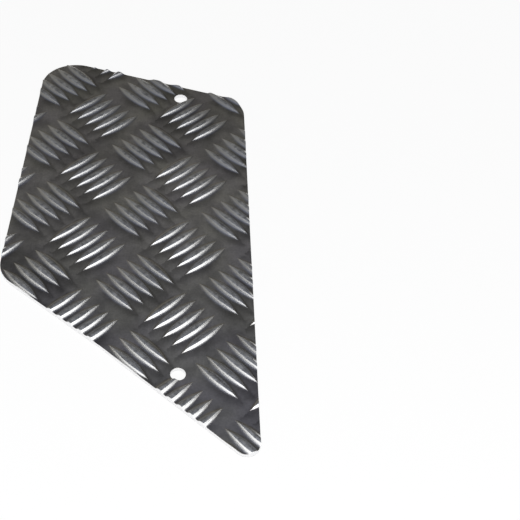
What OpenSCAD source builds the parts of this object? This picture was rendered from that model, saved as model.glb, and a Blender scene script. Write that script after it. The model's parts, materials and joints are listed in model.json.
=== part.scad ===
// Scooter floorboard: a flat panel of five-bar tread plate, cut to a four-sided shape with
// rounded corners and drilled for two screws. Sheet and bars are one rolled piece.
// The frame: origin on the underside at the screw hole near the pointed end, +Y towards the
// other screw hole and parallel to the inner edge, +X towards the inner edge, +Z up.

/* [Sheet] */
// Thickness of the sheet between the bars
sheet_t = 2; // [1.5:0.25:3]

/* [Outline, measured between sharp corners] */
// Length of the inner edge, the straight one beside the screw holes
inner_len = 265; // [245:1:285]
// Length of the edge across the wide end
wide_len = 125; // [110:1:140]
// Angle of the wide end, away from square to the inner edge
wide_rise = 17.7; // [10:0.1:25]
// Length of the outer edge
outer_len = 183; // [165:1:195]
// Lean of the outer edge, away from parallel to the inner edge
outer_lean = 3.8; // [1:0.1:7]
// How far the slanted edge is hollowed, where its two straight runs meet
slant_hollow = 1.6; // [0:0.1:4]
// Place of that meeting along the slanted edge, from the outer corner
slant_meeting = 0.41; // [0.25:0.01:0.6]

/* [Corner radii] */
// Corner of the inner edge and the wide end
wide_inner_r = 18; // [4:0.5:24]
// Corner of the wide end and the outer edge
wide_outer_r = 20; // [4:0.5:28]
// Corner of the outer edge and the slanted edge
outer_slant_r = 18; // [4:0.5:30]
// Pointed corner of the slanted edge and the inner edge
point_r = 6.5; // [3:0.5:12]

/* [Screw holes] */
// Diameter of both holes, clear of an M6 or M7 screw
screw_hole_d = 7.5; // [5:0.1:9]
// Distance of the pointed end's hole from the inner edge
point_screw_inset = 38.5; // [30:0.1:45]
// Distance of the pointed end's hole from the slanted edge
point_screw_margin = 14.8; // [10:0.1:20]
// Distance of the wide end's hole from the inner edge
wide_screw_inset = 37.7; // [30:0.1:60]
// Distance of the wide end's hole from the edge across the wide end
wide_screw_margin = 10.6; // [8:0.1:20]

/* [Tread bars] */
// Length of one bar, tip to tip
bar_len = 29.6; // [22:0.1:32]
// Width of one bar at its foot, halfway along
bar_w = 5.2; // [3.8:0.1:6]
// Height of one bar over the sheet, halfway along
bar_h = 1.4; // [0.8:0.1:2]
// Ground that a sloped flank covers, from its foot to the crown
flank_run = 1.6; // [1:0.1:1.8]
// Radius of the crown along the bar
crown_r = 120; // [80:5:250]

/* [Tread pattern] */
// Bars in one group
bars_per_group = 5; // [2:1:5]
// Distance between neighbouring bars in a group
bar_pitch = 6.9; // [6.2:0.1:7.5]
// Distance between groups that lean the same way
group_pitch = 53; // [50:0.5:58]
// Turn of the pattern against the inner edge
pattern_turn = -2; // [-10:0.5:10]
// Place of one group's centre across the sheet, from the pointed end's screw hole
pattern_x = 1.2; // [-26:0.1:26]
// Place of that centre along the sheet, from the same hole
pattern_y = -20; // [-26:0.1:26]

/* [Hidden] */

$fn = 92;                    // sides of a full circle, as drawn
overlap = 1;                 // how far a cutting shape runs past what it cuts
bar_root = 0.5;              // depth to which a bar runs into the sheet, to join it
total_h = sheet_t + bar_h;

function unit(v) = v / norm(v);
// The direction square to v, on its left: outwards, for edges that run clockwise
function outwards(v) = [-unit(v).y, unit(v).x];

// The edges, clockwise from the point, each from one sharp corner to the next
outer_edge = outer_len * [sin(outer_lean), cos(outer_lean)];
wide_edge = wide_len * [cos(wide_rise), -sin(wide_rise)];
inner_edge = [0, -inner_len];
slanted_edge = -(outer_edge + wide_edge + inner_edge);

// Way to a hole from the inner edge's end: inset from that edge, and margin from the edge
// that it meets there, which faces the direction out
function way_to_hole(inset, margin, out) = [-inset, (inset * out.x - margin) / out.y];

// The hole beside the point is the origin
slant_out = outwards(slanted_edge);
point = -way_to_hole(point_screw_inset, point_screw_margin, slant_out);
outer_slant = point + slanted_edge;
wide_outer = outer_slant + outer_edge;
wide_inner = wide_outer + wide_edge;
wide_screw = wide_inner + way_to_hole(wide_screw_inset, wide_screw_margin, outwards(wide_edge));

// The meeting of the slanted edge's two runs, a little inside the line between its ends
meeting = outer_slant - slanted_edge * slant_meeting - slant_out * slant_hollow;

// Each corner, the points that its two edges run to, and its radius
corners = [point, outer_slant, wide_outer, wide_inner];
before = [wide_inner, meeting, outer_slant, wide_outer];
after = [meeting, wide_outer, wide_inner, point];
radii = [point_r, outer_slant_r, wide_outer_r, wide_inner_r];
last_corner = len(corners) - 1;

function to_before(i) = unit(before[i] - corners[i]);
function to_after(i) = unit(after[i] - corners[i]);
function half_angle(i) = acos(to_before(i) * to_after(i)) / 2;
// The rounding of corner i: where it leaves each edge, and its centre
function round_start(i) = corners[i] + to_before(i) * radii[i] / tan(half_angle(i));
function round_end(i) = corners[i] + to_after(i) * radii[i] / tan(half_angle(i));
function round_centre(i) = corners[i] + unit(to_before(i) + to_after(i)) * radii[i] / sin(half_angle(i));

// How far a point lies outside the straight line from corner i to the next
function beyond(p, i) =
    let (next = corners[(i + 1) % len(corners)])
    (p - corners[i]) * outwards(next - corners[i]);

// A bar's flanks are two cones that lean against each other, one from each side
flank_r = bar_len * bar_len / (4 * bar_w) + bar_w / 4;
flank_offset = flank_r - bar_w / 2;
flank_slope = flank_run / bar_h;

// A bar shows unless both its tips lie well beyond one of the edges
function bar_shows(centre, turn) =
    let (half = [cos(turn), sin(turn)] * bar_len / 2)
    len([for (i = [0 : last_corner])
        if (min(beyond(centre - half, i), beyond(centre + half, i)) > bar_w / 2) i]) == 0;

reach = ceil((inner_len + wide_len) / group_pitch);

// The round part of corner i: as much of a circle as lies near the two edges that it touches
module rounding(i) {
    intersection() {
        polygon([round_start(i), corners[i], round_end(i), round_start(i) + round_end(i) - corners[i]]);
        translate(round_centre(i))
            circle(r = radii[i]);
    }
}

// The panel's shape in plan
module outline() {
    polygon([round_start(0), round_end(0), meeting,
        for (i = [1 : last_corner]) each [round_start(i), round_end(i)]]);
    for (i = [0 : last_corner])
        rounding(i);
}

module flank_cone() {
    translate([0, -flank_offset, -bar_root])
        cylinder(
            h = bar_root + bar_h + overlap,
            r1 = flank_r + flank_slope * bar_root,
            r2 = flank_r - flank_slope * (bar_h + overlap)
        );
}

// One raised bar along X: pointed at both ends, with sloped flanks and a long, low crown
module bar() {
    intersection() {
        flank_cone();
        mirror([0, 1, 0])
            flank_cone();
        translate([0, 0, bar_h - crown_r])
            rotate([90, 0, 0])
                cylinder(h = 2 * bar_w, r = crown_r, center = true);
    }
}

// A group of bars side by side about the given centre, leaning by the given turn
module bar_group(centre, turn) {
    across = [-sin(turn), cos(turn)];
    for (k = [0 : bars_per_group - 1]) {
        place = centre + across * (k - (bars_per_group - 1) / 2) * bar_pitch;
        if (bar_shows(place, turn))
            translate([place.x, place.y, sheet_t])
                rotate(turn)
                    bar();
    }
}

// Groups on a square grid, with groups of the other lean in the middle of each square
module tread() {
    grid_x = group_pitch * [cos(pattern_turn), sin(pattern_turn)];
    grid_y = group_pitch * [-sin(pattern_turn), cos(pattern_turn)];
    for (i = [-reach : reach], j = [-reach : reach]) {
        centre = [pattern_x, pattern_y] + grid_x * i + grid_y * j;
        bar_group(centre, pattern_turn + 45);
        bar_group(centre + (grid_x + grid_y) / 2, pattern_turn - 45);
    }
}

// The rolled sheet before it is cut out, larger than the outline all round
module stock() {
    left = min([for (c = corners) c.x]) - overlap;
    right = max([for (c = corners) c.x]) + overlap;
    low = min([for (c = corners) c.y]) - overlap;
    high = max([for (c = corners) c.y]) + overlap;
    translate([left, low, 0])
        cube([right - left, high - low, sheet_t]);
    tread();
}

module screw_hole(place) {
    translate([place.x, place.y, -overlap])
        cylinder(h = total_h + 2 * overlap, d = screw_hole_d);
}

module floorboard() {
    color("#6d6c6a")
    difference() {
        intersection() {
            stock();
            translate([0, 0, -overlap])
                linear_extrude(total_h + 2 * overlap)
                    outline();
        }
        screw_hole([0, 0]);
        screw_hole(wide_screw);
    }
}

floorboard();
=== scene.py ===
import json
import math

import bmesh
import bpy
import numpy as np
from mathutils import Matrix, Vector
from mathutils.geometry import delaunay_2d_cdt


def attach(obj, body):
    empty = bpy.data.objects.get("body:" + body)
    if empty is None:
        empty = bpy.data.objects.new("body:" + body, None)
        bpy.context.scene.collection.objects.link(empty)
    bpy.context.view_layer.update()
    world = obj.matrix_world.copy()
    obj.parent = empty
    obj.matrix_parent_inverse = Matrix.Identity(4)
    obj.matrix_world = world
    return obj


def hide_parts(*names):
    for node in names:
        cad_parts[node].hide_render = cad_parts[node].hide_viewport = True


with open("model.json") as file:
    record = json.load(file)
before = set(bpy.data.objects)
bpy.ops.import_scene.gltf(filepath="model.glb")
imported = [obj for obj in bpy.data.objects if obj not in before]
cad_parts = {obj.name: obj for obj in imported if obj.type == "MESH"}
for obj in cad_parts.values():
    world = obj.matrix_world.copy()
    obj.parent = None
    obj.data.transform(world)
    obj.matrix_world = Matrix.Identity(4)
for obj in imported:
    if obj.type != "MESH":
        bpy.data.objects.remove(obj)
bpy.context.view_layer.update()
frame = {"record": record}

# Scooter floorboard of five-bar tread plate, lying tread side up on a pale floor.
# Lengths are written in millimetres and turned to metres once, where a mesh or lamp is made.
mm = 0.001


def linear(hexColour):
    # sRGB hex to the linear colour that a shader wants
    parts = [int(hexColour[i:i + 2], 16) / 255 for i in (1, 3, 5)]
    return [c / 12.92 if c <= 0.04045 else ((c + 0.055) / 1.055) ** 2.4 for c in parts] + [1.0]


def addNode(tree, kind, settings=None, inputs=None):
    # settings are the node's own properties. An input goes by its name or number, and is a fixed
    # value, another node's output, or a whole node, which stands for its first output.
    node = tree.nodes.new(kind)
    for name, value in (settings or {}).items():
        setattr(node, name, value)
    for name, value in (inputs or {}).items():
        if isinstance(value, bpy.types.Node):
            value = value.outputs[0]
        if isinstance(value, bpy.types.NodeSocket):
            tree.links.new(value, node.inputs[name])
        else:
            node.inputs[name].default_value = value
    return node


# which output of a mix node gives a mixed colour
mixedColour = 2


def newMaterial(name):
    material = bpy.data.materials.new(name)
    material.use_nodes = True
    material.node_tree.nodes.clear()
    return material, material.node_tree


# The rolled plate. The outline's corners follow from the lengths of its edges.
plate = {
    "sheet": 2.0,             # thickness between the bars
    "innerLength": 265.0,     # straight edge beside the screw holes
    "wideLength": 125.0,      # edge across the wide end
    "wideRise": 17.7,         # degrees away from square to the inner edge
    "outerLength": 183.0,
    "outerLean": 3.8,         # degrees away from parallel to the inner edge
    "slantHollow": 1.6,       # how far the slanted edge is cut in
    "slantMeeting": 0.41,     # where its two runs meet, from the outer corner
    "pointMargin": 14.8,      # the point's screw hole to the slanted edge
    "pointInset": 38.5,       # the same hole to the inner edge
    "cornerRadii": (6.5, 18.0, 20.0, 18.0),    # clockwise from the point
    "cutEdgeRound": 0.22,     # what filing takes off the cut edges
    # mesh lines along the cut edges, in edge roundings: the insets of those on the tread side, and
    # the height and inset of each that closes the wall below
    "edgeLines": (0, 0.12, 0.45, 1, 1.6),
    "lowerLines": ((1, 0), (0.3, 0.3), (0, 1)),
    "wallRise": 0.3,          # a face of the cut wall looks up by less than this
    "edgeStep": 1.2,          # spacing of mesh points round the corners
    "leastSteps": 8,          # and the fewest steps round one corner
    "holePoints": 48,
    "flatStep": 3.0,          # spacing of mesh points on the flats
    "flatMargin": 1.5,        # how far those points stay away from the bars
    "mergeWithin": 1e-4,      # mesh points that lie closer than this become one
}

treadBar = {
    "length": 29.6,
    "width": 5.2,
    "height": 1.4,
    "flankRun": 1.6,          # ground that a flank covers, foot to crown
    "crownRadius": 120.0,     # along the bar
    "camberRadius": 9.0,      # across the bar
    "footFillet": 0.93,       # height over which the flank runs out into the sheet
    "shoulderFillet": 0.1,    # depth over which the flank turns into the crown
    "ridgeRound": 0.08,       # rounding of the ridge between crown and tip
    "ridgeEnd": 0.5,          # height under which that rounding fades towards the tip
    "tipShare": 0.5,          # how much of the last height the fillet takes towards a tip
    "leastFillet": 0.02,
    # lines that the mesh follows: heights on the flanks in foot fillets, depths from the crown's
    # edge in shoulder fillets, and distances from the ridge in ridge roundings
    "footLines": (-1.4, -1, -0.7, -0.4, -0.1, 0.2, 0.5, 0.8, 1.1),
    "crownLines": (-1.2, -0.3, 0.7, 2.5, 6.0),
    "ridgeLines": (-2, 0, 2),
    "linePoints": 17,         # mesh points along one side of such a line
    "lineError": 1e-6,        # how closely the ends of such a line are found
}

treadPattern = {
    "barsPerGroup": 5,
    "barPitch": 6.9,
    "groupPitch": 53.0,
    "lean": 45.0,             # degrees that a group leans one way or the other on its grid
    "turn": -2.0,             # degrees that the grid is turned against the inner edge
    "groupAt": (1.2, -20.0),  # centre of one group, from the point's screw hole
}


def unit(v):
    return v / np.linalg.norm(v)


def outwards(v):
    # square to v on its left, which is out of the metal on every cut edge
    return unit(np.array([-v[1], v[0]]))


def outlineCorners():
    lean, rise = math.radians(plate["outerLean"]), math.radians(plate["wideRise"])
    outer = plate["outerLength"] * np.array([math.sin(lean), math.cos(lean)])
    wide = plate["wideLength"] * np.array([math.cos(rise), -math.sin(rise)])
    inner = np.array([0.0, -plate["innerLength"]])
    slant = -(outer + wide + inner)
    out = outwards(slant)
    inset, margin = plate["pointInset"], plate["pointMargin"]
    point = np.array([inset, (margin - inset * out[0]) / out[1]])
    corners = [point, point + slant, point + slant + outer, point - inner]
    meeting = corners[1] - slant * plate["slantMeeting"] - out * plate["slantHollow"]
    return corners, meeting


def outlineLoop(inset):
    # the panel's outline as one closed run of points, moved inwards by inset
    corners, meeting = outlineCorners()
    ahead = [meeting, corners[2], corners[3], corners[0]]
    behind = [corners[3], meeting, corners[1], corners[2]]
    points = []
    for corner, last, following, radius in zip(corners, behind, ahead, plate["cornerRadii"]):
        toLast, toNext = unit(last - corner), unit(following - corner)
        half = math.acos(toLast @ toNext) / 2
        centre = corner + unit(toLast + toNext) * radius / math.sin(half)
        start = -outwards(toLast)
        sweep = math.pi - 2 * half
        steps = max(plate["leastSteps"], round(radius * sweep / plate["edgeStep"]))
        for k in range(steps + 1):
            turn = -sweep * k / steps
            direction = np.array([
                start[0] * math.cos(turn) - start[1] * math.sin(turn),
                start[0] * math.sin(turn) + start[1] * math.cos(turn),
            ])
            points.append(centre + direction * (radius - inset))
        if corner is corners[0]:
            firstOut, secondOut = outwards(meeting - corners[0]), outwards(corners[1] - meeting)
            points.append(meeting - (firstOut + secondOut) * inset / (1 + firstOut @ secondOut))
    return np.array(points)


def screwHoles():
    # the holes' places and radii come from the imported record's mounts
    holes = []
    for mount in frame["record"]["mounts"]:
        if mount["kind"] == "bore":
            holes.append((np.array(mount["pos_m"][:2]) / mm, mount["dims"]["r_mm"]))
    return holes


def holeLoop(centre, radius):
    angles = np.arange(plate["holePoints"]) * 2 * math.pi / plate["holePoints"]
    return centre + radius * np.column_stack([np.cos(angles), np.sin(angles)])


def nearestEdge(points, loops):
    # distance of each point to the nearest cut edge, and the way out of the metal there
    distance = np.full(len(points), np.inf)
    wayOut = np.zeros((len(points), 2))
    for loop in loops:
        for a, b in zip(loop, np.roll(loop, -1, axis=0)):
            run = b - a
            share = np.clip(((points - a) @ run) / (run @ run), 0, 1)
            gap = np.linalg.norm(points - a - share[:, None] * run, axis=1)
            closer = gap < distance
            distance[closer] = gap[closer]
            wayOut[closer] = outwards(run)
    return distance, wayOut


def onMetal(points, loops):
    # a point is on the metal if a ray from it crosses the cut edges an odd number of times
    crossings = np.zeros(len(points), int)
    for loop in loops:
        for a, b in zip(loop, np.roll(loop, -1, axis=0)):
            spans = (a[1] > points[:, 1]) != (b[1] > points[:, 1])
            if a[1] != b[1]:
                at = a[0] + (points[:, 1] - a[1]) * (b[0] - a[0]) / (b[1] - a[1])
                crossings += spans & (points[:, 0] < at)
    return crossings % 2 == 1


def barPlaces(panelLoop):
    # Centre, direction along and direction across of every bar that reaches the panel, and
    # whether it is the first or last bar of its group
    turn = math.radians(treadPattern["turn"])
    gridX = treadPattern["groupPitch"] * np.array([math.cos(turn), math.sin(turn)])
    gridY = treadPattern["groupPitch"] * np.array([-math.sin(turn), math.cos(turn)])
    half = treadBar["length"] / 2
    lastBar = treadPattern["barsPerGroup"] - 1
    cells = math.ceil(np.abs(panelLoop).max() / treadPattern["groupPitch"]) + 1
    cellNumbers = range(-cells, cells + 1)
    first = np.array(treadPattern["groupAt"])
    centres = [first + gridX * i + gridY * j for i in cellNumbers for j in cellNumbers]
    places = []
    # groups on a square grid, and groups of the other lean in the middle of each square
    for squares, lean in ((0, treadPattern["lean"]), (0.5, -treadPattern["lean"])):
        shift = (gridX + gridY) * squares
        angle = turn + math.radians(lean)
        along = np.array([math.cos(angle), math.sin(angle)])
        across = np.array([-along[1], along[0]])
        for k in range(lastBar + 1):
            step = (k - lastBar / 2) * treadPattern["barPitch"]
            for centre in centres:
                place = centre + shift + across * step
                probes = place + along * np.linspace(-half, half, treadBar["linePoints"])[:, None]
                fromPanel = nearestEdge(probes, [panelLoop])[0].min()
                if fromPanel < treadBar["width"] or onMetal(probes, [panelLoop]).any():
                    places.append((place, along, across, k in (0, lastBar)))
    return places


# A bar's flanks are two cones that lean against each other, one from each side
flankRadius = treadBar["length"] ** 2 / (4 * treadBar["width"]) + treadBar["width"] / 4
flankOffset = flankRadius - treadBar["width"] / 2
flankSlope = treadBar["flankRun"] / treadBar["height"]


def crownHeight(u):
    radius = treadBar["crownRadius"]
    return np.sqrt(radius ** 2 - u ** 2) - radius + treadBar["height"]


def softMin(a, b, reach):
    # the lower of two heights, blended where they lie closer together than reach
    overlap = np.maximum(reach - np.abs(a - b), 0)
    return np.minimum(a, b) - overlap ** 2 / (4 * reach)


def ridgeHeight(u):
    # where the two flanks would meet if the crown didn't cut them
    return (flankRadius - np.sqrt(u ** 2 + flankOffset ** 2)) / flankSlope


def ridgeRounding(u):
    return treadBar["ridgeRound"] * np.clip(ridgeHeight(u) / treadBar["ridgeEnd"], 0, 1)


def barHeight(u, v):
    # height of one bar over the sheet at u along it and v across it
    side = np.hypot(v, ridgeRounding(u))
    flank = (flankRadius - np.hypot(u, side + flankOffset)) / flankSlope
    crown = crownHeight(u) - v ** 2 / (2 * treadBar["camberRadius"])
    top = softMin(flank, crown, treadBar["shoulderFillet"])
    fillet = treadBar["tipShare"] * ridgeHeight(u)
    fillet = np.clip(fillet, treadBar["leastFillet"], treadBar["footFillet"])
    return -softMin(-top, 0, fillet)


def barLines():
    # Lines of one bar that the mesh follows: level lines of the flank, lines at a steady depth
    # from the crown's edge, and three along the ridge. True marks a closed line.
    foot, shoulder = treadBar["footFillet"], treadBar["shoulderFillet"]
    levels = [lambda u, t=t: t * foot for t in treadBar["footLines"]]
    levels += [lambda u, t=t: crownHeight(u) + t * shoulder for t in treadBar["crownLines"]]
    # the sines of even angles crowd the points towards the ends, where a line bends most
    angles = np.linspace(-math.pi / 2, math.pi / 2, treadBar["linePoints"])
    lines = []
    for level in levels:
        # halving finds where the two sides of the line meet on the ridge
        low, high = 0.0, treadBar["length"]
        while high - low > treadBar["lineError"]:
            middle = (low + high) / 2
            if ridgeHeight(middle) > level(middle):
                low = middle
            else:
                high = middle
        u = low * np.sin(angles)
        radius = flankRadius - flankSlope * level(u)
        v = np.sqrt(np.maximum(radius ** 2 - u ** 2, 0)) - flankOffset
        upper = np.column_stack([u, np.maximum(v, 0)])
        lower = (upper * (1, -1))[1:-1][::-1]
        lines.append((np.vstack([upper, lower]), True))
    angles = np.linspace(-math.pi / 2, math.pi / 2, 2 * treadBar["linePoints"])
    u = treadBar["length"] / 2 * np.sin(angles)
    for side in treadBar["ridgeLines"]:
        lines.append((np.column_stack([u, side * ridgeRounding(u)]), False))
    return lines


def nearBar(points, place, along, across):
    # the points' places in one bar's own directions, and which of them lie near it
    local = points - place
    u, v = local @ along, local @ across
    near = (np.abs(u) < treadBar["length"]) & (np.abs(v) < 2 * treadBar["width"])
    return u[near], v[near], near


def footDistance(u, v):
    # distance outwards from a bar's foot, below 0 on the bar
    return np.hypot(u, np.abs(v) + flankOffset) - flankRadius


def topHeight(points, cutLoops, places):
    height = np.zeros(len(points))
    for *bar, _ in places:
        u, v, near = nearBar(points, *bar)
        height[near] = np.maximum(height[near], barHeight(u, v))
    radius = plate["cutEdgeRound"]
    depth = np.clip(radius - nearestEdge(points, cutLoops)[0], 0, radius)
    return plate["sheet"] + height - (radius - np.sqrt(radius ** 2 - depth ** 2))


def topNormals(points, places):
    # square to the surface, by its slopes over a short step either way
    step = 0.01
    slopes = []
    for move in (np.array([step, 0]), np.array([0, step])):
        rise = topHeight(points + move, [], places) - topHeight(points - move, [], places)
        slopes.append(-rise / (2 * step))
    normals = np.column_stack(slopes + [np.ones(len(points))])
    return normals / np.linalg.norm(normals, axis=1)[:, None]


# Painted shade beside the bars, where they hide the room from the flats' reflection. It reaches
# furthest on one side, down the panel and a little to the right, and is heaviest at a bar's lower
# end.
paintedBarShade = {
    # the way in which the painted shade reaches furthest
    "furthestWay": (0.35, -0.94),
    "reach": 4.8,             # how far it reaches from a bar's foot, halfway between the two sides
    "reachGain": 5.5,         # how much further the painted shade reaches on that side
    "leastReach": 0.8,
    "mostReach": 7.5,
    # places down a bar's length, in half bars from its middle, where it begins and is full
    "starts": -0.6,
    "full": 0.1,
    "shade": 0.61,            # how dark it is
}


def eased(value, start, full):
    # 0 at start and before it, 1 at full and past it, with a soft change between
    share = np.clip((value - start) / (full - start), 0, 1)
    return share * share * (3 - 2 * share)


def paintedBarShadeAmount(points, places):
    # 1 where the painted shade is darkest, down to 0 on open metal
    amount = np.zeros(len(points))
    for place, along, across, _ in places:
        u, v, near = nearBar(points, place, along, across)
        towards = np.sign(v) * (across @ np.array(paintedBarShade["furthestWay"]))
        reach = paintedBarShade["reach"] + paintedBarShade["reachGain"] * towards
        reach = np.clip(reach, paintedBarShade["leastReach"], paintedBarShade["mostReach"])
        beside = eased(footDistance(u, v), reach, 0)
        down = -along[1] * u / (treadBar["length"] / 2)
        towardsLowerEnd = eased(down, paintedBarShade["starts"], paintedBarShade["full"])
        amount[near] = np.maximum(amount[near], beside * towardsLowerEnd)
    return amount


# On a group's first and last bar, the half of the crown that faces up the panel is drawn darker.
# Both places are distances up the panel from a bar's middle.
darkerCrownHalf = {
    "starts": -0.4,
    "full": 0.8,
}


def darkerCrownHalfAmount(points, places):
    # 1 where a crown is drawn darker, 0 on the other crowns and on the sheet
    amount = np.zeros(len(points))
    for place, along, across, isOuter in places:
        u, v, near = nearBar(points, place, along, across)
        up = v * np.sign(across[1])
        darkerHalf = eased(up, darkerCrownHalf["starts"], darkerCrownHalf["full"]) * isOuter
        amount[near] = np.where(footDistance(u, v) < 0, darkerHalf, amount[near])
    return amount


def layOut(cutLoops, holes, places):
    # The plate seen from above: points, and the edges that its mesh must follow, made triangles
    points, edges = [], []

    def addLine(line, closed):
        start, count = len(points), len(line)
        points.extend(Vector(p) for p in line)
        runs = count if closed else count - 1
        edges.extend((start + k, start + (k + 1) % count) for k in range(runs))

    for share in plate["edgeLines"]:
        inset = share * plate["cutEdgeRound"]
        addLine(outlineLoop(inset), True)
        for centre, radius in holes:
            addLine(holeLoop(centre, radius + inset), True)
    lines = barLines()
    for place, along, across, _ in places:
        for line, closed in lines:
            addLine(place + line[:, :1] * along + line[:, 1:] * across, closed)

    low, high = cutLoops[0].min(0), cutLoops[0].max(0)
    gridX, gridY = np.meshgrid(np.arange(low[0], high[0], plate["flatStep"]),
                               np.arange(low[1], high[1], plate["flatStep"]))
    grid = np.column_stack([gridX.ravel(), gridY.ravel()])
    grid = grid[onMetal(grid, cutLoops)]
    fromBars = np.full(len(grid), np.inf)
    for *bar, _ in places:
        u, v, near = nearBar(grid, *bar)
        fromBars[near] = np.minimum(fromBars[near], footDistance(u, v))
    fromEdges = nearestEdge(grid, cutLoops)[0]
    clear = (fromBars > plate["flatMargin"]) & (fromEdges > 2 * plate["cutEdgeRound"])
    points.extend(Vector(p) for p in grid[clear])

    wholeHull = 0    # the kind of result that has triangles between all the points
    flat, _, faces, _, _, _ = delaunay_2d_cdt(
        points, edges, [], wholeHull, plate["mergeWithin"], False)
    flat, faces = np.array([tuple(p) for p in flat]), np.array(faces)
    return flat, faces[onMetal(flat[faces].mean(1), cutLoops)]


def addUnderside(bm, cutLoops):
    # the cut wall, its rounded lower edge, and the flat underside
    lip = plate["cutEdgeRound"]
    rim = [edge for edge in bm.edges if edge.is_boundary]
    moved = 0
    for height, inset in plate["lowerLines"]:
        made = bmesh.ops.extrude_edge_only(bm, edges=rim)["geom"]
        rim = [part for part in made if isinstance(part, bmesh.types.BMEdge)]
        ring = list({vert for edge in rim for vert in edge.verts})
        places = np.array([vert.co[:2] for vert in ring]) / mm
        for vert, out in zip(ring, nearestEdge(places, cutLoops)[1]):
            vert.co.x -= out[0] * (inset - moved) * lip * mm
            vert.co.y -= out[1] * (inset - moved) * lip * mm
            vert.co.z = height * lip * mm
        moved = inset
    bmesh.ops.triangle_fill(bm, edges=rim, use_beauty=True, use_dissolve=False)
    bmesh.ops.recalc_face_normals(bm, faces=bm.faces)
    # extruding leaves the new faces in no fixed order, so each run sorts them by place
    byPlace = sorted(bm.faces, key=lambda face: tuple(face.calc_center_median()))
    ranks = {face: rank for rank, face in enumerate(byPlace)}
    bm.faces.sort(key=lambda face: ranks[face])


def buildPanel():
    holes = screwHoles()
    cutLoops = [outlineLoop(0)] + [holeLoop(centre, radius) for centre, radius in holes]
    places = barPlaces(cutLoops[0])
    print("plate:", len(places), "bars")
    flat, faces = layOut(cutLoops, holes, places)
    height = topHeight(flat, cutLoops, places)

    bm = bmesh.new()
    verts = {}
    for index in np.unique(faces):
        verts[index] = bm.verts.new((flat[index][0] * mm, flat[index][1] * mm, height[index] * mm))
    for face in faces:
        bm.faces.new([verts[k] for k in face])
    addUnderside(bm, cutLoops)
    for face in bm.faces:
        face.smooth = True
        upright = abs(face.normal.z) < plate["wallRise"]
        onWall = upright and face.calc_center_median().z < plate["sheet"] * mm
        face.material_index = 1 if onWall else 0    # sawn there, rolled elsewhere
    mesh = bpy.data.meshes.new("floorboardPlate")
    bm.to_mesh(mesh)
    bm.free()

    # exact normals on the tread, and two patterns that follow the bars for the material to use
    spots = np.array([vert.co for vert in mesh.vertices]) / mm
    normals = np.array([vert.normal for vert in mesh.vertices])
    clearOfEdges = nearestEdge(spots[:, :2], cutLoops)[0] > plate["cutEdgeRound"]
    onTop = clearOfEdges & (spots[:, 2] > plate["sheet"] / 2)
    normals[onTop] = topNormals(spots[onTop, :2], places)
    mesh.normals_split_custom_set_from_vertices([tuple(normal) for normal in normals])
    # the first pattern is the painted shade beside the bars
    for name, amount in (("paintedBarShade", paintedBarShadeAmount), ("darkerCrownHalf", darkerCrownHalfAmount)):
        pattern = mesh.attributes.new(name, "FLOAT", "POINT")
        pattern.data.foreach_set("value", amount(spots[:, :2], places))
    panel = bpy.data.objects.new("floorboard_plate", mesh)
    bpy.context.collection.objects.link(panel)
    return panel


rolledFace = {
    "olive": "#adaaa2",       # thin oxide
    "mauve": "#a39f9f",       # thicker oxide
    "flank": "#dbdbdb",       # bars are rubbed bright by feet and by other sheets
    "crown": "#cacac9",       # their crowns are scuffed too, which greys them a little
    "darkerCrownHalf": "#a8a7a6",   # the darker half of the crowns on a group's first and last bar
    "wearSize": 2.6,          # patches where the crowns are rubbed more or less
    "wearDepth": 0.4,
    "hueSize": 26.0,          # patches of one oxide or the other
    "cloudSize": 11.0,        # soft darker and paler clouds
    "cloudDepth": 0.2,
    "grainLength": 9.0,       # streaks left by the mill's rollers
    "grainWidth": 0.35,
    "grainDepth": 0.03,       # how far the streaks vary the roughness
    "speckSize": 1.1,         # fine pitting, drawn coarse enough to show
    "speckDepth": 0.08,
    "scuffLength": 14.0,      # hairline scuffs, drawn wider than they are so that they show
    "scuffWidth": 0.5,
    "scuffTurn": 34.0,        # degrees
    "scuffShine": 1.1,
    "roughness": 0.34,
    "crownRoughness": 0.42,
    "wave": 0.05,             # how far the flats rise and fall
    "pits": 0.01,             # how deep the pitting is
    "pitStrength": 0.5,
    # the two values of its texture, out of 0 to 1, between which each pattern changes
    "hueRange": (0.35, 0.65),
    "patchRange": (0.3, 0.7),
    "scuffRange": (0.62, 0.72),
    "grainRange": (0.25, 0.75),
    # the two shares of a bar's height between which each rubbed colour comes in
    "flankShares": (0.0, 0.36),
    "crownShares": (0.75, 0.95),
    # broad marks of handling on the flats: where they are, how far they reach, how pale they are
    "marks": (
        {"place": (12.0, 104.0), "reach": 66.0, "tone": 1.22},
        {"place": (-88.0, 60.0), "reach": 46.0, "tone": 0.55},
        {"place": (-46.0, 152.0), "reach": 24.0, "tone": 0.88},
        {"place": (0.0, 138.0), "reach": 28.0, "tone": 1.25},
        {"place": (8.0, 194.0), "reach": 36.0, "tone": 0.8},
        {"place": (-48.0, 24.0), "reach": 28.0, "tone": 0.78},
        {"place": (2.0, -58.0), "reach": 28.0, "tone": 0.6},
        {"place": (-50.0, -22.0), "reach": 28.0, "tone": 1.75},
        {"place": (-50.0, 224.0), "reach": 30.0, "tone": 0.84},
        {"place": (-4.0, 18.0), "reach": 26.0, "tone": 1.2},
        {"place": (-94.0, 140.0), "reach": 26.0, "tone": 1.15},
    ),
}


def perMetre(sizeInMm):
    # a texture's scale from the real size of its pattern
    return 1 / (sizeInMm * mm)


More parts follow.
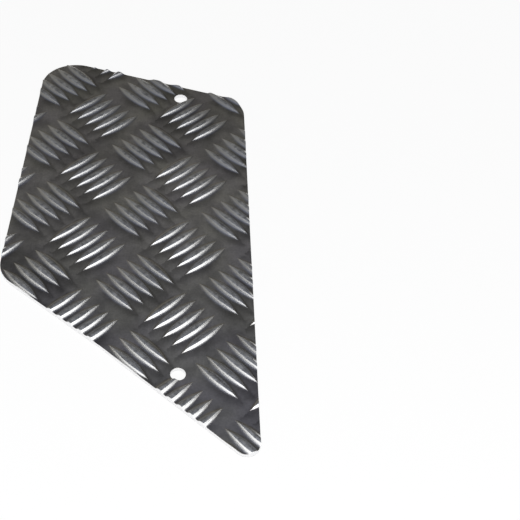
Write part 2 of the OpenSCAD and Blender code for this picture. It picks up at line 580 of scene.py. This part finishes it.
def rolledAluminium():
    # Mill-finished aluminium sheet, hot rolled with its bars. Rolling leaves a soft grey satin
    # with faint clouds of oxide, so the flats mirror dimly and the bars' flanks flash.
    look = rolledFace
    material, tree = newMaterial("rolledAluminium")
    place = addNode(tree, "ShaderNodeTexCoord").outputs["Object"]
    hues = addNode(tree, "ShaderNodeTexNoise", None, {
        "Vector": place, "Scale": perMetre(look["hueSize"]), "Detail": 1.0, "Roughness": 0.5})
    clouds = addNode(tree, "ShaderNodeTexNoise", None, {
        "Vector": place, "Scale": perMetre(look["cloudSize"]), "Detail": 3.0, "Roughness": 0.6})
    specks = addNode(tree, "ShaderNodeTexNoise", None, {
        "Vector": place, "Scale": perMetre(look["speckSize"]), "Detail": 3.0, "Roughness": 0.6})
    wear = addNode(tree, "ShaderNodeTexNoise", None, {
        "Vector": place, "Scale": perMetre(look["wearSize"]), "Detail": 2.0, "Roughness": 0.6})
    alongRolling = addNode(tree, "ShaderNodeMapping", None, {
        "Vector": place,
        "Scale": (perMetre(look["grainWidth"]), perMetre(look["grainLength"]), 1.0)})
    grain = addNode(tree, "ShaderNodeTexNoise", None, {
        "Vector": alongRolling, "Scale": 1.0, "Detail": 2.0, "Roughness": 0.5})
    alongScuffs = addNode(tree, "ShaderNodeMapping", None, {
        "Vector": place, "Rotation": (0.0, 0.0, math.radians(look["scuffTurn"])),
        "Scale": (perMetre(look["scuffWidth"]), perMetre(look["scuffLength"]), 1.0)})
    scuffs = addNode(tree, "ShaderNodeTexNoise", None, {
        "Vector": alongScuffs, "Scale": 1.0, "Detail": 1.0, "Roughness": 0.5})
    # painted shade beside the bars, as the mesh holds it
    paintedShade = addNode(tree, "ShaderNodeAttribute", {"attribute_name": "paintedBarShade"}).outputs["Fac"]
    darkerHalf = addNode(tree, "ShaderNodeAttribute", {"attribute_name": "darkerCrownHalf"}).outputs["Fac"]
    height = addNode(tree, "ShaderNodeSeparateXYZ", None, {"Vector": place}).outputs["Z"]

    hue = addNode(tree, "ShaderNodeMapRange", None, {
        "Value": hues, "From Min": look["hueRange"][0], "From Max": look["hueRange"][1]})
    olive, mauve = linear(look["olive"]), linear(look["mauve"])
    oxideAndShade = addNode(tree, "ShaderNodeMix", {"data_type": "RGBA"}, {
        "Factor": hue, "A": olive, "B": mauve}).outputs[mixedColour]

    # what makes the oxide paler or darker, painted shade beside the bars among them: a pattern,
    # its two ends, and the tone at each end
    tones = [
        (clouds, *look["patchRange"], 1 - look["cloudDepth"], 1 + look["cloudDepth"]),
        (specks, *look["patchRange"], 1 - look["speckDepth"], 1 + look["speckDepth"]),
        (scuffs, *look["scuffRange"], 1.0, look["scuffShine"]),
        # painted shade beside the bars
        (paintedShade, 0.0, 1.0, 1.0, paintedBarShade["shade"]),
    ]
    for mark in look["marks"]:
        centre = (mark["place"][0] * mm, mark["place"][1] * mm, plate["sheet"] * mm)
        away = addNode(tree, "ShaderNodeVectorMath", {"operation": "DISTANCE"}, {
            0: place, 1: centre}).outputs["Value"]
        tones.append((away, 0.0, mark["reach"] * mm, mark["tone"], 1.0))
    for pattern, low, high, toneAtLow, toneAtHigh in tones:
        tone = addNode(tree, "ShaderNodeMapRange", {"interpolation_type": "SMOOTHSTEP"}, {
            "Value": pattern, "From Min": low, "From Max": high,
            "To Min": toneAtLow, "To Max": toneAtHigh})
        oxideAndShade = addNode(tree, "ShaderNodeVectorMath", {"operation": "SCALE"}, {
            0: oxideAndShade, "Scale": tone})

    # rubbed metal on the bars: first the flanks' colour, then the crowns'
    colour = oxideAndShade
    rubbed = {}
    for name, shares in (("flank", look["flankShares"]), ("crown", look["crownShares"])):
        low, high = ((plate["sheet"] + share * treadBar["height"]) * mm for share in shares)
        rubbed[name] = addNode(tree, "ShaderNodeMapRange", {"interpolation_type": "SMOOTHSTEP"}, {
            "Value": height, "From Min": low, "From Max": high})
        colour = addNode(tree, "ShaderNodeMix", {"data_type": "RGBA"}, {
            "Factor": rubbed[name], "A": colour, "B": linear(look[name])}).outputs[mixedColour]
    onCrown = rubbed["crown"]
    # the up-panel half of the crowns of a group's first and last bar is drawn darker
    darkerCrownHalves = addNode(tree, "ShaderNodeMath", {"operation": "MULTIPLY"}, {0: onCrown, 1: darkerHalf})
    colour = addNode(tree, "ShaderNodeMix", {"data_type": "RGBA"}, {
        "Factor": darkerCrownHalves, "A": colour, "B": linear(look["darkerCrownHalf"])}).outputs[mixedColour]

    # crowns are worn in patches
    wearTone = addNode(tree, "ShaderNodeMapRange", None, {
        "Value": wear, "From Min": look["patchRange"][0], "From Max": look["patchRange"][1],
        "To Min": 1 - look["wearDepth"], "To Max": 1 + look["wearDepth"]})
    worn = addNode(tree, "ShaderNodeVectorMath", {"operation": "SCALE"}, {
        0: colour, "Scale": wearTone})
    colour = addNode(tree, "ShaderNodeMix", {"data_type": "RGBA"}, {
        "Factor": onCrown, "A": colour, "B": worn}).outputs[mixedColour]

    # crowns mirror less sharply, and the rollers' streaks vary that everywhere
    smooth = addNode(tree, "ShaderNodeMapRange", None, {
        "Value": onCrown, "To Min": look["roughness"], "To Max": look["crownRoughness"]})
    streaks = addNode(tree, "ShaderNodeMapRange", None, {
        "Value": grain, "From Min": look["grainRange"][0], "From Max": look["grainRange"][1],
        "To Min": -look["grainDepth"], "To Max": look["grainDepth"]})
    rough = addNode(tree, "ShaderNodeMath", {"operation": "ADD"}, {0: smooth, 1: streaks})
    wave = addNode(tree, "ShaderNodeBump", None, {
        "Strength": 1.0, "Distance": look["wave"] * mm, "Height": clouds})
    pits = addNode(tree, "ShaderNodeBump", None, {
        "Strength": look["pitStrength"], "Distance": look["pits"] * mm, "Height": specks,
        "Normal": wave})
    metal = addNode(tree, "ShaderNodeBsdfPrincipled", None, {
        "Metallic": 1.0, "Base Color": colour, "Roughness": rough, "Normal": pits})
    addNode(tree, "ShaderNodeOutputMaterial", None, {"Surface": metal})
    return material


sawnEdge = {
    "colour": "#f5f5f6",      # fresh metal
    "markSpacing": 0.5,       # the saw's marks, drawn wider apart than they are so that they show
    "markLength": 6.0,
    "markDepth": 0.02,
    "markStrength": 0.4,
    "markRange": (0.25, 0.75),    # the texture's values between which the roughness changes
    "roughness": 0.39,
    "unevenness": 0.07,       # how far the marks vary the roughness
}


def sawnAluminium():
    # Aluminium fresh from the saw and the file: bright, with fine marks up the edge
    look = sawnEdge
    material, tree = newMaterial("sawnAluminium")
    place = addNode(tree, "ShaderNodeTexCoord").outputs["Object"]
    spacing, length = perMetre(look["markSpacing"]), perMetre(look["markLength"])
    upTheEdge = addNode(tree, "ShaderNodeMapping", None, {
        "Vector": place, "Scale": (spacing, spacing, length)})
    marks = addNode(tree, "ShaderNodeTexNoise", None, {
        "Vector": upTheEdge, "Scale": 1.0, "Detail": 2.0, "Roughness": 0.5})
    rough = addNode(tree, "ShaderNodeMapRange", None, {
        "Value": marks, "From Min": look["markRange"][0], "From Max": look["markRange"][1],
        "To Min": look["roughness"] - look["unevenness"],
        "To Max": look["roughness"] + look["unevenness"]})
    grooves = addNode(tree, "ShaderNodeBump", None, {
        "Strength": look["markStrength"], "Distance": look["markDepth"] * mm, "Height": marks})
    metal = addNode(tree, "ShaderNodeBsdfPrincipled", None, {
        "Metallic": 1.0, "Base Color": linear(look["colour"]), "Roughness": rough,
        "Normal": grooves})
    addNode(tree, "ShaderNodeOutputMaterial", None, {"Surface": metal})
    return material


studio = {
    "floorSize": 30000.0,
    "floorDrop": 0.1,         # keeps the floor clear of the underside
    "floorColour": "#f4f4f4",
    "floorGlow": 0.93,        # how much of the floor's white is seen without the lamps
    # the dim room's colours, and the rise of each as the sine of its angle above level
    "room": ((0.0, "#868176"), (0.72, "#73736f"), (0.9, "#7c849d"), (1.0, "#84868a")),
    # Its right side is darker. The brightness falls to this share of itself between two sines,
    # of the angles that a direction turns to the right.
    "rightSide": (0.08, 0.42),
    "rightShare": 0.48,
    "lampsAimAt": (-20.0, 90.0, 0.0),
}

# Large soft lamps: one over the right shoulder, one low in front, one weak and far to the left.
# Each is turned by some degrees about the upright, away from the place that they all aim at.
softLamps = {
    "keyLamp": {
        "place": (532, -247, 723), "size": (1262, 394), "radiance": 2.15, "turned": -36.3},
    "frontLamp": {
        "place": (-175, -183, 106), "size": (974, 428), "radiance": 1.66, "turned": 31.3},
    "leftLamp": {
        "place": (-1073, -205, 271), "size": (484, 752), "radiance": 1.15, "turned": -35.7},
}


def whiteFloor():
    # Matt white card. Where it is seen, straight or in the metal, most of it is plain white, and
    # the rest takes the lamps, so that the panel's shadow stays.
    material, tree = newMaterial("whiteCard")
    rays = addNode(tree, "ShaderNodeLightPath")
    seen = rays.outputs["Is Camera Ray"]
    for kind in ("Is Glossy Ray", "Is Transmission Ray"):
        seen = addNode(tree, "ShaderNodeMath", {"operation": "MAXIMUM"}, {
            0: seen, 1: rays.outputs[kind]})
    glow = addNode(tree, "ShaderNodeMath", {"operation": "MULTIPLY"}, {
        0: seen, 1: studio["floorGlow"]})
    card = addNode(tree, "ShaderNodeBsdfDiffuse", None, {"Color": linear(studio["floorColour"])})
    white = addNode(tree, "ShaderNodeEmission", None, {"Color": (1, 1, 1, 1), "Strength": 1.0})
    mixed = addNode(tree, "ShaderNodeMixShader", None, {0: glow, 1: card, 2: white})
    addNode(tree, "ShaderNodeOutputMaterial", None, {"Surface": mixed})

    half = studio["floorSize"] / 2 * mm
    corners = [(-half, -half, 0), (half, -half, 0), (half, half, 0), (-half, half, 0)]
    mesh = bpy.data.meshes.new("floor")
    mesh.from_pydata(corners, [], [(0, 1, 2, 3)])
    mesh.materials.append(material)
    floor = bpy.data.objects.new("floor", mesh)
    floor.location.z = -studio["floorDrop"] * mm
    bpy.context.collection.objects.link(floor)


def dimRoom():
    # The room above, as the metal mirrors it. The camera sees plain white.
    world = bpy.data.worlds.new("room")
    world.use_nodes = True
    tree = world.node_tree
    tree.nodes.clear()
    direction = addNode(tree, "ShaderNodeTexCoord").outputs["Generated"]
    parts = addNode(tree, "ShaderNodeSeparateXYZ", None, {"Vector": direction})
    ramp = addNode(tree, "ShaderNodeValToRGB", None, {"Fac": parts.outputs["Z"]})
    # a new ramp has its first and last stop, and the others go between them
    stops = ramp.color_ramp.elements
    for rise, _ in studio["room"][1:-1]:
        stops.new(rise)
    for stop, (rise, colour) in zip(stops, studio["room"]):
        stop.position, stop.color = rise, linear(colour)
    brightness = addNode(tree, "ShaderNodeMapRange", {"interpolation_type": "SMOOTHSTEP"}, {
        "Value": parts.outputs["X"], "From Min": studio["rightSide"][0],
        "From Max": studio["rightSide"][1], "To Min": 1.0, "To Max": studio["rightShare"]})
    room = addNode(tree, "ShaderNodeBackground", None, {"Color": ramp, "Strength": brightness})
    white = addNode(tree, "ShaderNodeBackground", None, {"Color": (1, 1, 1, 1), "Strength": 1.0})
    rays = addNode(tree, "ShaderNodeLightPath")
    mixed = addNode(tree, "ShaderNodeMixShader", None, {
        0: rays.outputs["Is Camera Ray"], 1: room, 2: white})
    addNode(tree, "ShaderNodeOutputWorld", None, {"Surface": mixed})
    bpy.context.scene.world = world


def addLamp(name, lamp):
    width, height = lamp["size"][0] * mm, lamp["size"][1] * mm
    data = bpy.data.lights.new(name, "AREA")
    data.shape = "RECTANGLE"
    data.size, data.size_y = width, height
    data.energy = lamp["radiance"] * math.pi * width * height    # a flat lamp's power
    lampObject = bpy.data.objects.new(name, data)
    lampObject.location = Vector(lamp["place"]) * mm
    facing = Vector(studio["lampsAimAt"]) - Vector(lamp["place"])
    facing.rotate(Matrix.Rotation(math.radians(lamp["turned"]), 3, "Z"))
    lampObject.rotation_euler = facing.to_track_quat("-Z", "Y").to_euler()
    lampObject.visible_camera = False
    bpy.context.collection.objects.link(lampObject)


# The camera stands in front of the panel and looks down on it, a little tilted
view = {
    "place": (-6.77, -374.76, 472.59),
    "towardsRight": 6.278,    # degrees from +Y towards +X
    "down": 45.986,
    "roll": 5.384,
    "focalPixels": 1238.1,    # focal length in pixels of the 520 x 520 picture
    "pictureSize": 520,
    "sensorWidth": 36.0,
    "nearest": 10.0,          # nothing nearer than this is drawn
    "furthest": 100000.0,     # nor anything beyond this
}


def addCamera():
    data = bpy.data.cameras.new("camera")
    data.sensor_width = view["sensorWidth"]
    data.lens = view["focalPixels"] / view["pictureSize"] * view["sensorWidth"]
    data.clip_start, data.clip_end = view["nearest"] * mm, view["furthest"] * mm
    camera = bpy.data.objects.new("camera", data)
    # before it is turned, a camera looks straight down, which is 90 degrees below level
    turn = Matrix.Rotation(-math.radians(view["towardsRight"]), 4, "Z")
    tilt = Matrix.Rotation(math.radians(90 - view["down"]), 4, "X")
    roll = Matrix.Rotation(math.radians(view["roll"]), 4, "Z")
    camera.matrix_world = Matrix.Translation(Vector(view["place"]) * mm) @ turn @ tilt @ roll
    bpy.context.collection.objects.link(camera)
    bpy.context.scene.camera = camera


print("plate: building the rolled sheet and its bars")
panel = buildPanel()
panel.data.materials.append(rolledAluminium())
panel.data.materials.append(sawnAluminium())
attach(panel, "root")
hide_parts("floorboard")
print("plate:", len(panel.data.polygons), "faces")

print("studio: floor, room, lamps and camera")
whiteFloor()
dimRoom()
for name, lamp in softLamps.items():
    addLamp(name, lamp)
addCamera()
bpy.context.scene.view_settings.view_transform = "Standard"
